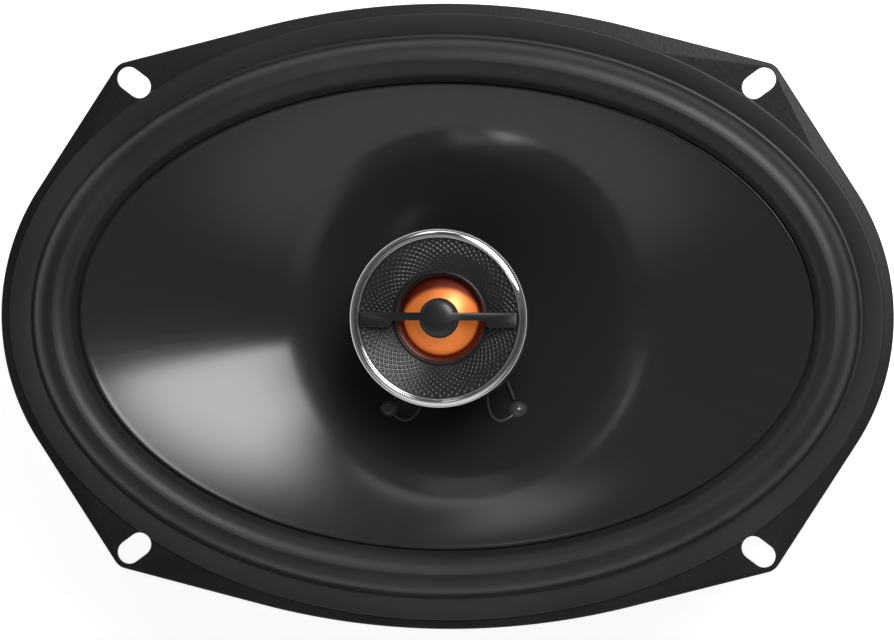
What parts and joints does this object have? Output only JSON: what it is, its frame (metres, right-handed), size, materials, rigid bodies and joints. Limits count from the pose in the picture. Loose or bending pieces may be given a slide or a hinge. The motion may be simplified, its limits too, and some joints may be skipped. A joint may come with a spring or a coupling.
{
  "type": "coaxial car speaker",
  "caption": "Oval two-way car speaker with a black cone, a rolled rubber surround and a chrome-ringed dome tweeter held over its centre on a post.",
  "frame": {"origin": "centre of the yoke's flat back face, where the speaker stands on its magnet", "axes": "+Z along the speaker's axis, the way it fires; +X along the oval's long axis; the terminals are on the -Y side"},
  "size_m": [0.2364, 0.1646, 0.0982],
  "materials": {
    "basket_paint": "satin",
    "zinc_steel": "satin",
    "ferrite": "matte",
    "surround_rubber": "matte",
    "cone_poly": "gloss",
    "black_plastic": "satin",
    "bezel_chrome": "polished",
    "dome_film": "gloss",
    "spider_cloth": "matte",
    "felt": "matte",
    "coil_aluminium": "satin",
    "coil_copper": "satin",
    "terminal_brass": "satin",
    "phenolic_board": "matte",
    "capacitor_sleeve": "satin",
    "red_insulation": "satin",
    "black_insulation": "satin",
    "tinsel_braid": "matte",
    "black_glue": "gloss",
    "nickel": "polished"
  },
  "bodies": {
    "frame_body": {"basket": "basket_paint", "basket_rivet_1": "zinc_steel", "basket_rivet_2": "zinc_steel", "basket_rivet_3": "zinc_steel", "basket_rivet_4": "zinc_steel", "yoke": "zinc_steel", "magnet": "ferrite", "top_plate": "zinc_steel", "surround": "surround_rubber", "spider": "spider_cloth", "tweeter_post": "black_plastic", "post_washer": "zinc_steel", "post_nut": "zinc_steel", "dust_seal": "felt", "tweeter_housing": "black_plastic", "tweeter_cup": "zinc_steel", "tweeter_magnet": "nickel", "tweeter_pole_plate": "zinc_steel", "tweeter_mounting_ring": "black_plastic", "tweeter_suspension": "dome_film", "tweeter_faceplate": "black_plastic", "tweeter_bezel": "bezel_chrome", "tweeter_bridge": "black_plastic", "terminal_board": "phenolic_board", "terminal_positive": "terminal_brass", "terminal_negative": "terminal_brass", "terminal_rivet_1": "terminal_brass", "terminal_rivet_2": "terminal_brass", "board_rivet_1": "zinc_steel", "board_rivet_2": "zinc_steel", "crossover_capacitor": "capacitor_sleeve", "capacitor_lead_left": "nickel", "capacitor_lead_right": "nickel", "tweeter_wire_positive": "red_insulation", "tweeter_wire_negative": "black_insulation", "tinsel_lead_left": "tinsel_braid", "tinsel_lead_right": "tinsel_braid"},
    "cone_body": {"cone": "cone_poly", "voice_coil_former": "coil_aluminium", "voice_coil_winding": "coil_copper", "lead_eyelet_left": "terminal_brass", "lead_eyelet_right": "terminal_brass", "glue_dab_left": "black_glue", "glue_dab_right": "black_glue", "coil_lead_left": "black_glue", "coil_lead_right": "black_glue"},
    "dome_body": {"tweeter_dome": "dome_film", "tweeter_former": "coil_aluminium", "tweeter_winding": "coil_copper"}
  },
  "joints": [
    {"name": "woofer_stroke", "type": "slide", "parent": "frame_body", "child": "cone_body", "axis": [0, 0, 1], "range_m": [-0.005, 0.005], "stiffness_N_per_m": 3500, "deforming": ["surround", "spider", "tinsel_lead_left", "tinsel_lead_right"]},
    {"name": "tweeter_stroke", "type": "slide", "parent": "frame_body", "child": "dome_body", "axis": [0, 0, 1], "range_m": [-0.0003, 0.0003], "stiffness_N_per_m": 2000, "deforming": ["tweeter_suspension"]}
  ]
}
